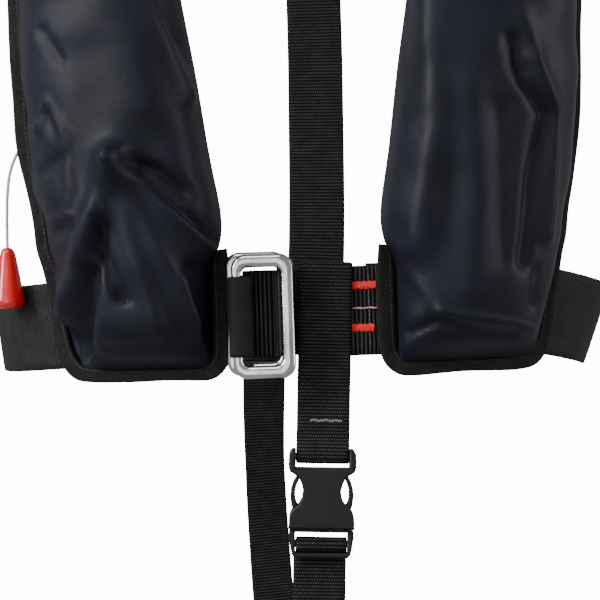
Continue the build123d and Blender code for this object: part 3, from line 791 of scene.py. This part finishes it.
def nurbs(name, points, resolution):
    """A smooth open curve whose control points are given in mm."""
    curve = bpy.data.curves.new(name, "CURVE")
    curve.dimensions = "3D"
    spline = curve.splines.new("NURBS")
    spline.points.add(len(points) - 1)
    for target, p in zip(spline.points, points):
        target.co = (p[0] * MM, p[1] * MM, p[2] * MM, 1)
    spline.order_u = 3
    spline.use_endpoint_u = True
    spline.resolution_u = resolution
    return curve


def along_nurbs(points):
    """Points along that curve, in mm, as Blender draws it."""
    holder = bpy.data.objects.new("route", nurbs("route", points, 12))
    mesh = bpy.data.meshes.new_from_object(holder)
    found = np.array([v.co[:] for v in mesh.vertices]) / MM
    bpy.data.objects.remove(holder)
    return found


def build_crotch_long():
    # the last number of each point is how many degrees the webbing has turned about upright
    points = [
        (4.6, -161.8, -532, 0), (3.2, -161.5, -560, 0), (2, -161, -600, 0), (-1, -154, -655, 1),
        (-5, -125, -703, 2), (-10, -70, -728, 3), (-16, -12, -708, 6), (-22, 22, -655, 12),
        (-27, 37, -590, 22), (-30.5, 43, -500, 27), (-28.5, 43.5, -430, 12), (-26, 41.6, -392, 3),
        (-26, 41.4, -374, 0),
    ]
    route = along_nurbs([p[:3] for p in points])
    reach = np.concatenate([[0], np.cumsum(np.linalg.norm(np.diff(route, axis=0), axis=1))])
    corners = np.array([p[:3] for p in points], float)
    passed = np.concatenate([[0], np.cumsum(np.linalg.norm(np.diff(corners, axis=0), axis=1))])
    turn = np.radians(np.interp(reach / reach[-1], passed / passed[-1], [p[3] for p in points]))
    line = [(*p, cos(a), sin(a), 0) for p, a in zip(route, turn)]
    obj = strap("crotch_strap_long", line, 30, 2.0, WEBBING, ("crotch_strap",), body=None, step=4, cross=12)
    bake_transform(obj)
    around = [(3.0, -66), (2.9, -60), (2.9, -56), (2.2, -50.6), (0, -49.6), (-2.4, -50.4),
              (-3.1, -52.8), (-2.6, -55.6), (0.4, -57.0)]
    line = [leant(0, y, z, drop=BUCKLE_DROP) for y, z in around]
    strap("crotch_strap_bar_wrap", line, 28.8, 1.5, WEBBING, across=STRAP_ACROSS, body="buckle_plug",
          step=0.8, cross=12)


def mirrored(points):
    return points + [(-x, z) for x, z in reversed(points)]


def build_buckle():
    socket = mirrored([(15.1, -9.8), (15.1, 0.4), (15.9, 1.2), (17.6, 0.6), (19.0, -2.0), (19.2, -9.2),
                       (18.2, -12.0), (15.0, -13.8), (13.0, -15.8), (11.6, -18.6), (10.7, -22.8), (11.3, -27),
                       (12.9, -30), (15.6, -32.2), (17.6, -34.6), (18.4, -37.6), (18.6, -44.2)])
    outline_solid("buckle_socket_shell", socket, 11, IN_BUCKLE, ("buckle_socket",), bevel=1.2)
    top_bar = mirrored([(16, -1.8), (16, -5.6)])
    outline_solid("buckle_strap_bar", top_bar, 3.4, IN_BUCKLE, bevel=1.0)
    arm = [(15.4, -44.6), (15.6, -36.5), (16.6, -33), (17.5, -29.6), (17.9, -25.6), (17.6, -21.6),
           (16.4, -17.6), (14.6, -14.6), (12.8, -15), (13.2, -17), (14.4, -19.6), (15.1, -22.8),
           (15.1, -26), (14.5, -28.8), (13.4, -31), (12.9, -36), (12.6, -44.6)]
    for side, body in ((RIGHT, "right_release_arm"), (LEFT, "left_release_arm")):
        outline = [(x * side, z) for x, z in arm]
        outline_solid(f"{body}_spring", outline, 5.8, IN_BUCKLE, (body,), body=body, bevel=0.7)
    plug = mirrored([(15.8, -44.8), (17.6, -44.8), (18.3, -46), (18.3, -49), (17.4, -55), (16.6, -58.6),
                     (15.2, -60.4)])
    slot = mirrored([(14.6, -45.9), (14.8, -46.2), (14.8, -48.6), (14.6, -57.4)])
    outline_solid("buckle_plug_frame", plug, 8, IN_BUCKLE, ("buckle_plug",), body="buckle_plug", bevel=1.0,
                  holes=(slot,))
    bar = mirrored([(15, -50.6), (15, -55)])
    outline_solid("buckle_plug_bar", bar, 3.4, IN_BUCKLE, body="buckle_plug", bevel=1.0)
    guide = mirrored([(2, -45.9), (2, -28), (1.2, -27)])
    outline_solid("buckle_plug_guide", guide, 3, IN_BUCKLE, body="buckle_plug", bevel=0.5)
    lip = mirrored([(16.6, -41.6), (16.8, -43.4)])
    on_front = IN_BUCKLE @ Matrix.Translation((0, -5.3 * MM, 0))
    outline_solid("buckle_mouth_lip", lip, 1.4, on_front, bevel=0.5)


# ---------------------------------------------------------------- pull cord and handle
# the frame of the parts inside the left lobe: half a turn about z, less the lobe's own turn
FITTINGS = Matrix.Translation((-0.103, -0.154, -0.301)) @ Matrix.Rotation(pi - radians(LOBE_TURN), 4, "Z")
CORD_POINTS = [
    (0.029, 0.020, 0.042), (0.029, 0.020, 0.029), (0.036, -0.004, 0.024), (0.056, -0.009, 0.019),
    (0.071, -0.010, 0.002), (0.075, -0.010, -0.022), (0.075, -0.010, -0.049),
]


def in_fittings(x, y, z):
    return FITTINGS @ Vector((x, y, z))


def lathe(name, profile, axis_at, material, nodes, body, count):
    """A turned and softened shape from (radius, z) pairs in mm, upright at axis_at in metres."""
    verts = []
    for r, z in profile:
        for k in range(count):
            a = 2 * pi * k / count
            verts.append((axis_at[0] / MM + r * cos(a), axis_at[1] / MM + r * sin(a), axis_at[2] / MM + z))
    faces = tube_faces(len(profile), count)
    turned = piece(name, verts, faces, material, nodes, body=body)
    soften = turned.modifiers.new("soften", "SUBSURF")
    soften.levels = soften.render_levels = 1
    return turned


def build_pull():
    curve = nurbs("pull_cord_line", [in_fittings(*p) / MM for p in CORD_POINTS], 24)
    curve.bevel_depth = 0.001
    curve.bevel_resolution = 5
    curve.use_fill_caps = True
    curve.materials.append(CORD_BRAID)
    cord = bpy.data.objects.new("pull_cord_braid", curve)
    bpy.context.scene.collection.objects.link(cord)
    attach(cord, "pull")
    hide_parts("pull_cord")
    end = in_fittings(*CORD_POINTS[-1])
    profile = [(0.6, 0.2), (1.9, 0.15), (2.9, -0.35), (3.9, -1.6), (4.7, -4), (5.6, -9), (6.6, -15),
               (7.6, -21), (8.6, -26.2), (9.4, -30), (9.5, -31.6), (9.1, -33.3), (8.1, -34.8),
               (6.5, -35.6), (4.2, -35.9), (3.0, -35.7), (2.4, -34.6), (0.6, -34.4)]
    handle = lathe("red_pull_handle", profile, end, RED, ("pull_toggle",), "pull", 64)
    start = in_fittings(0.029, 0.020, 0.0437)
    ball = [(0.7, 2.75), (1.6, 2.3), (2.4, 1.4), (2.8, 0), (2.5, -1.2), (1.9, -1.7), (0.7, -1.75)]
    stop = lathe("cord_stop_ball", ball, start, BLACK, ("cord_ball",), "pull", 28)


# ---------------------------------------------------------------- stitching
def bar_stitches(name, ends, y, z, tall, count, material, nodes, lean, wave, seed):
    """A bartack on the belt: closely laid upright stitches, each a little thread arch."""
    rng = np.random.default_rng(seed)
    x0, x1 = ends
    radius = (x1 - x0) / count * 0.62
    steps, ring = 8, 7
    verts, faces = [], []
    for i in range(count):
        x = x0 + (x1 - x0) * (i + 0.5) / count
        drift = wave * sin(i * 1.3)
        slope = rng.uniform(-0.25, 0.25) + lean
        base = len(verts)
        for s in range(steps + 1):
            f = s / steps
            cz = z + drift + tall * (f - 0.5) + rng.uniform(-0.05, 0.05)
            cy = y - 0.55 * sin(pi * f) ** 0.5
            cx = x + slope * (f - 0.5)
            for k in range(ring):
                a = 2 * pi * k / ring
                verts.append((cx + radius * cos(a), cy + 0.3 * sin(a), cz))
        faces += tube_faces(steps + 1, ring, offset=base)
    piece(name, verts, faces, material, nodes)


def build_red_stitches():
    bar_stitches("red_bartack_top", (26.8, 41.2), -163.6, -378.7, 4.4, 22, RED_THREAD, ("red_bartacks",),
                 lean=0.3, wave=0.2, seed=3)
    bar_stitches("red_bartack_bottom", (26.8, 39.6), -163.6, -402.8, 4.4, 20, RED_THREAD, (),
                 lean=0.3, wave=0.3, seed=4)
    bar_stitches("pink_stitch_line", (27.5, 41.4), -163.4, -391.6, 0.9, 9, PINK_THREAD, (),
                 lean=1.0, wave=0.15, seed=5)


def build_strap_bartack():
    """Pale slanting stitches side by side across the front crotch strap."""
    rng = np.random.default_rng(9)
    count, steps, ring = 22, 4, 6
    verts, faces = [], []
    for i in range(count):
        x = -7 + 17 * i / (count - 1)
        z = -61.4 + 0.25 * sin(i * 0.8)
        low = leant(x - 0.3, -2.15, z - 0.55 + rng.uniform(-0.15, 0.15))
        high = leant(x + 0.5, -2.15, z + 0.45 + rng.uniform(-0.15, 0.15))
        base = len(verts)
        for s in range(steps + 1):
            f = s / steps
            c = [a + (b - a) * f for a, b in zip(low, high)]
            for k in range(ring):
                a = 2 * pi * k / ring
                verts.append((c[0] + 0.19 * cos(a), c[1] - 0.25 * sin(pi * f) + 0.16 * sin(a), c[2]))
        faces += tube_faces(steps + 1, ring, offset=base)
    piece("pale_strap_bartack", verts, faces, PALE_THREAD, ("strap_bartack",))


def build_grey_rows():
    """Four upright rows of grey stitches on the belt, behind the red bartacks."""
    per_row, steps, ring = 15, 3, 6
    verts, faces = [], []
    for row_x, top, bottom in ((28.6, -372, -414), (31.4, -372, -414),
                               (34.2, -372, -414), (37.0, -373, -413)):
        for i in range(per_row):
            x = row_x + 0.2 * sin(i)
            z = top + (bottom - top) * (i + 0.5) / per_row
            base = len(verts)
            for s in range(steps + 1):
                y = -163.1 - 0.12 * sin(pi * s / steps)
                up = 1.1 * (s / steps - 0.5) * 2
                for k in range(ring):
                    a = 2 * pi * k / ring
                    verts.append((x + 0.22 * cos(a), y + 0.12 * sin(a), z + up))
            faces += tube_faces(steps + 1, ring, offset=base)
    grey = thread("grey_thread", (0.06, 0.06, 0.06), (0.2, 0.2, 0.2))
    piece("grey_stitch_rows", verts, faces, grey)


# ---------------------------------------------------------------- carried-over fittings
def finish_fittings():
    plated = Shader("plated_cylinder", roughness=0.3, metallic=0.9)
    share = plated.remap(plated.noise(50, 4), 0.3, 0.7)
    plated.colour(plated.mix(share, (0.38, 0.39, 0.40), (0.52, 0.53, 0.54)))
    plated.bump((plated.noise(400, 3, (1, 1, 0.1)), 0.00004))
    looks = {
        "co2_cylinder": plated.mat,
        "inflator_body": BLACK, "inflator_lever": BLACK, "manifold": BLACK, "belt_slider": BLACK,
        "oral_tube": BLACK, "oral_cap": BLACK,
        "bobbin_cap": moulded("yellow_moulding", (0.55, 0.36, 0.02), (0.66, 0.45, 0.03), 0.35),
        "indicator_clip": moulded("green_moulding", (0.02, 0.28, 0.06), (0.03, 0.36, 0.08), 0.35),
        "whistle": moulded("orange_moulding", (0.75, 0.16, 0.01), (0.85, 0.22, 0.02), 0.3),
    }
    for node, material in looks.items():
        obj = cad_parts[node]
        obj.data.materials.clear()
        obj.data.materials.append(material)


# ---------------------------------------------------------------- studio
LIT_AT = Vector((0, -0.12, -0.36))      # the lamps point here, in metres


def build_floor():
    """A white floor that no other surface sees, so that it doesn't light the object from below."""
    low = cad_box[0][2] - 0.06
    mesh = bpy.data.meshes.new("studio_floor")
    mesh.from_pydata([(x, y, low) for x, y in ((-9, -9), (9, -9), (9, 9), (-9, 9))], [], [(0, 1, 2, 3)])
    paper = Shader("studio_paper", roughness=0.9)
    paper.colour(paper.mix(paper.noise(3, 2), (0.90, 0.90, 0.90), (0.94, 0.94, 0.94)))
    paper.out.inputs["Emission Color"].default_value = (1, 1, 1, 1)
    paper.out.inputs["Emission Strength"].default_value = WHITE
    mesh.materials.append(paper.mat)
    floor = bpy.data.objects.new("studio_floor", mesh)
    bpy.context.scene.collection.objects.link(floor)
    floor.visible_diffuse = False
    floor.visible_glossy = False


def build_world():
    """White where the camera looks past the object, and a dim sky for everything else."""
    world = bpy.data.worlds.new("studio_world")
    world.use_nodes = True
    tree = world.node_tree
    seen = tree.nodes.new("ShaderNodeLightPath").outputs["Is Camera Ray"]
    strength = tree.nodes.new("ShaderNodeMapRange")
    strength.inputs["To Min"].default_value = 0.4
    strength.inputs["To Max"].default_value = WHITE
    tree.links.new(seen, strength.inputs["Value"])
    tree.nodes["Background"].inputs[0].default_value = (1, 1, 1, 1)
    tree.links.new(strength.outputs[0], tree.nodes["Background"].inputs[1])
    bpy.context.scene.world = world


def softbox(name, place, size, power):
    """A rectangular lamp: its place and size in metres, its power in watts."""
    data = bpy.data.lights.new(name, "AREA")
    data.shape = "RECTANGLE"
    data.size, data.size_y = size
    data.energy = power
    lamp = bpy.data.objects.new(name, data)
    bpy.context.scene.collection.objects.link(lamp)
    lamp.location = place
    aim = LIT_AT - Vector(place)
    lamp.rotation_euler = aim.to_track_quat("-Z", "Y").to_euler()


build_pull()
build_crotch_long()
build_lobes()
build_lining()
build_binding()
build_belt()
build_harness()
build_crotch_front()
build_buckle()
build_red_stitches()
build_strap_bartack()
build_grey_rows()
finish_fittings()
build_floor()
build_world()
softbox("key_left", (-1.5, -0.95, 0.35), (0.7, 1.4), 46)
softbox("front_card", (-0.75, -2.3, -0.4), (1.9, 1.9), 17)
softbox("fill_right", (1.6, -0.45, 0.0), (0.5, 1.5), 16)
softbox("top_front", (-0.3, -1.3, 1.3), (1.0, 0.6), 10)
